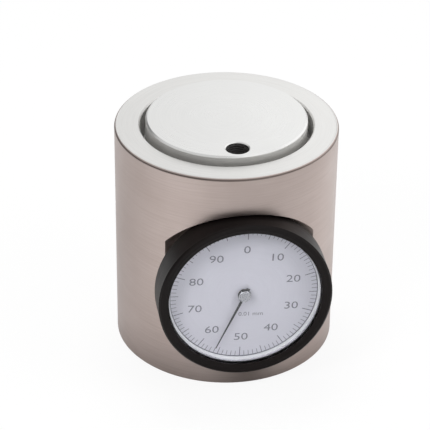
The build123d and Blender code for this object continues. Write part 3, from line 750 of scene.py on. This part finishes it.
def makeFloor():
    bm = bmesh.new()
    bmesh.ops.create_grid(bm, x_segments=1, y_segments=1, size=studio["floorSize"] / 2)
    mesh = bpy.data.meshes.new("floor")
    bm.to_mesh(mesh)
    bm.free()
    floor = bpy.data.objects.new("floor", mesh)
    bpy.context.scene.collection.objects.link(floor)
    material, tree, shader = blankMaterial("paleFloor")
    shader.inputs["Roughness"].default_value = studio["floorRough"]
    shader.inputs["Specular IOR Level"].default_value = studio["floorSpecular"]
    white = tree.nodes.new("ShaderNodeEmission")
    paths = tree.nodes.new("ShaderNodeLightPath")
    place = objectPlace(tree, False)
    # Painted light: mirror rays see the floor dimmed, except at painted pools of light
    lit = 0.0
    for centre, radius in studio["paintedLightPools"]:
        lit = addMath(tree, "MAXIMUM", roundPlace(tree, place, centre, radius), lit)
    dim = addMath(tree, "MULTIPLY", paths.outputs["Is Glossy Ray"], addMath(tree, "SUBTRACT", 1.0, lit))
    # Painted shadow: the floor under the bezel darkens for mirror rays
    under = addMath(tree, "MULTIPLY", dim, roundPlace(tree, place, *studio["bezelShadowPlace"]))
    colour = mixColour(tree, dim, studio["floorColour"], studio["floorDim"])
    colour = mixColour(tree, under, colour, studio["bezelShadowColour"])
    tree.links.new(colour, shader.inputs["Base Color"])
    mix = tree.nodes.new("ShaderNodeMixShader")
    seen = addMath(tree, "MULTIPLY", paths.outputs["Is Camera Ray"], studio["cameraWhite"])
    tree.links.new(seen, mix.inputs[0])
    tree.links.new(shader.outputs[0], mix.inputs[1])
    tree.links.new(white.outputs[0], mix.inputs[2])
    tree.links.new(mix.outputs[0], tree.nodes["Material Output"].inputs["Surface"])
    mesh.materials.append(material)


def makeWorld():
    world = bpy.data.worlds.new("studio")
    bpy.context.scene.world = world
    world.use_nodes = True
    tree = world.node_tree
    background = tree.nodes["Background"]
    background.inputs["Color"].default_value = (1, 1, 1, 1)
    paths = tree.nodes.new("ShaderNodeLightPath")
    split = tree.nodes.new("ShaderNodeSeparateXYZ")
    tree.links.new(tree.nodes.new("ShaderNodeTexCoord").outputs["Generated"], split.inputs[0])
    x, y, z = split.outputs
    front = ramp(tree, y, *studio["front"], 1 - studio["frontWhite"], 0.0)
    front = addMath(tree, "MULTIPLY", front, ramp(tree, z, *studio["frontTop"], 1.0, 0.0))
    left = ramp(tree, x, *studio["left"], 1 - studio["leftWhite"], 0.0)
    left = addMath(tree, "MULTIPLY", left, ramp(tree, z, *studio["leftTop"], 1.0, 0.0))
    mirrored = ramp(tree, x, *studio["side"], *studio["sideWhite"])
    for dark in (front, left):
        mirrored = addMath(tree, "MULTIPLY", mirrored, addMath(tree, "SUBTRACT", 1.0, dark))
    sky = addMath(tree, "MULTIPLY", paths.outputs["Is Diffuse Ray"], studio["skyLight"])
    glossy = addMath(tree, "MULTIPLY", paths.outputs["Is Glossy Ray"], mirrored)
    other = addMath(tree, "MAXIMUM", paths.outputs["Is Camera Ray"], paths.outputs["Is Transmission Ray"])
    strength = addMath(tree, "MAXIMUM", addMath(tree, "MAXIMUM", sky, glossy), other)
    tree.links.new(strength, background.inputs["Strength"])


def makeLamp(name):
    lamp = bpy.data.lights.new(name + "Lamp", "AREA")
    lamp.shape = "DISK"
    lamp.size = studio[name + "Size"]
    lamp.energy = studio[name + "Power"]
    holder = bpy.data.objects.new(name + "Lamp", lamp)
    holder.location = studio[name + "Place"]
    towards = Vector(studio["lampsAim"]) - holder.location
    holder.rotation_euler = towards.to_track_quat("-Z", "Y").to_euler()
    holder.visible_glossy = False
    bpy.context.scene.collection.objects.link(holder)


makeFloor()
makeWorld()
for name in ("key", "top", "fill"):
    makeLamp(name)

# Camera at the photograph's viewing angle
cameraLook = {
    "azimuth": -9.488,
    "elevation": 31.283,
    "roll": 0.651,
    "distance": 417.8 * mm,
    "target": (-2.125 * mm, 0.34 * mm, 26.917 * mm),
    "lens": 166.29,
    "nearest": 10 * mm,
}


def makeCamera():
    look = cameraLook
    azimuth, elevation, roll = (math.radians(look[angle]) for angle in ("azimuth", "elevation", "roll"))
    outward = Vector((math.sin(azimuth), -math.cos(azimuth), 0))
    back = outward * math.cos(elevation) + Vector((0, 0, math.sin(elevation)))
    level = Vector((math.cos(azimuth), math.sin(azimuth), 0))
    right = level * math.cos(roll) + back.cross(level) * math.sin(roll)
    up = back.cross(right)
    camera = bpy.data.objects.new("camera", bpy.data.cameras.new("camera"))
    camera.data.lens = look["lens"]
    camera.data.clip_start = look["nearest"]
    place = Vector(look["target"]) + back * look["distance"]
    camera.matrix_world = Matrix.Translation(place) @ Matrix((right, up, back)).transposed().to_4x4()
    bpy.context.scene.collection.objects.link(camera)
    bpy.context.scene.camera = camera


makeCamera()
bpy.context.scene.view_settings.view_transform = "Standard"
print("stage set")
